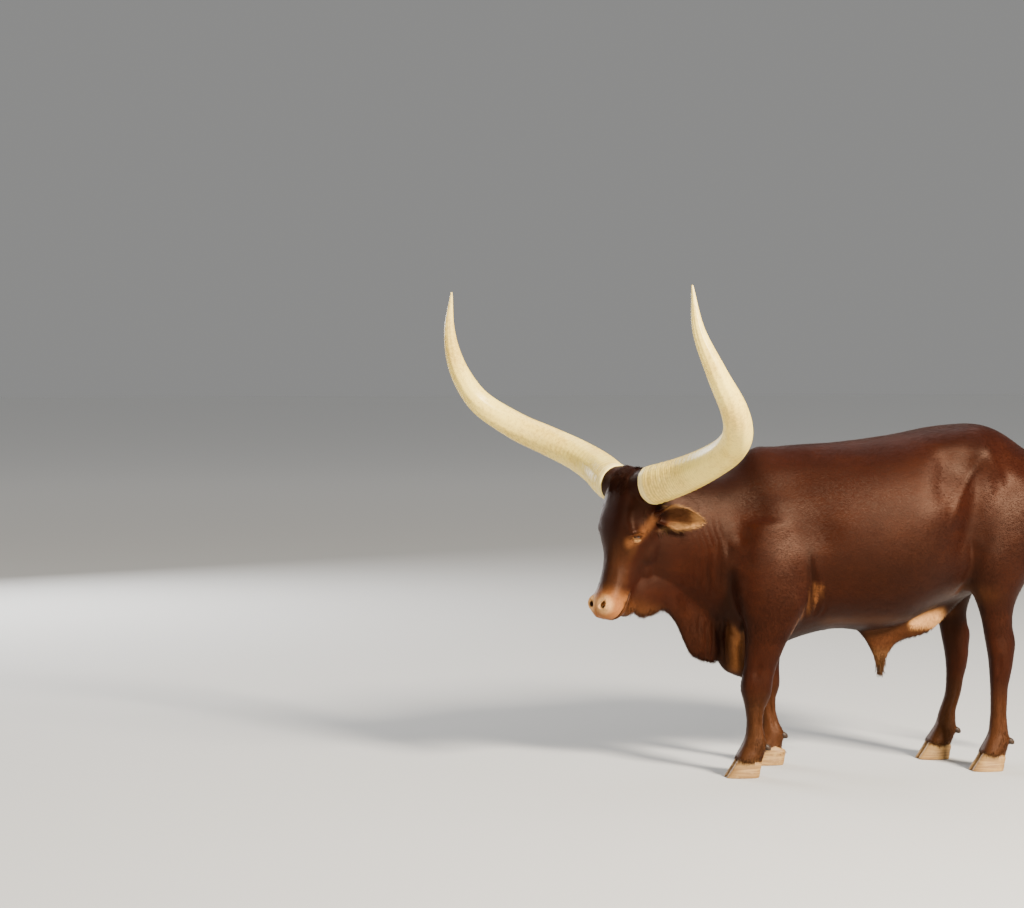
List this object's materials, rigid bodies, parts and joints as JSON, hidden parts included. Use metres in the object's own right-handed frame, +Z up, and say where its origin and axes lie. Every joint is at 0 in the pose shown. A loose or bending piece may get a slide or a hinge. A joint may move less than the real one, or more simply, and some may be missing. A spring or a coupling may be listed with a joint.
{
  "type": "ankole watusi cattle model",
  "caption": "Life-size still model of a dark red long-horned ox, standing square with its head lowered and turned left, hanging dewlap and sheath fold.",
  "frame": {"origin": "on the floor, in the middle of the box that holds the whole model in plan", "axes": "+Z up, the animal's front towards -X, the side with its left flank towards -Y"},
  "size_m": [2.6721, 1.5978, 2.0506],
  "materials": {
    "coat": "short glossy hair on hide",
    "switch_hair": "long coarse hair",
    "eye": "polished",
    "horn": "satin horn",
    "hoof": "dull horn"
  },
  "bodies": {
    "root": {"head": "coat", "neck": "coat", "dewlap": "coat", "torso": "coat", "sheath": "coat", "tail": "coat", "tail_switch": "switch_hair", "leg_front_left": "coat", "leg_front_right": "coat", "leg_hind_left": "coat", "leg_hind_right": "coat", "ear_left": "coat", "ear_right": "coat", "eye_left": "eye", "eye_right": "eye", "horn_left": "horn", "horn_right": "horn", "claw_front_left_outer": "hoof", "claw_front_left_inner": "hoof", "claw_front_right_outer": "hoof", "claw_front_right_inner": "hoof", "claw_hind_left_outer": "hoof", "claw_hind_left_inner": "hoof", "claw_hind_right_outer": "hoof", "claw_hind_right_inner": "hoof", "dewclaw_front_left_outer": "hoof", "dewclaw_front_left_inner": "hoof", "dewclaw_front_right_outer": "hoof", "dewclaw_front_right_inner": "hoof", "dewclaw_hind_left_outer": "hoof", "dewclaw_hind_left_inner": "hoof", "dewclaw_hind_right_outer": "hoof", "dewclaw_hind_right_inner": "hoof"}
  },
  "joints": []
}
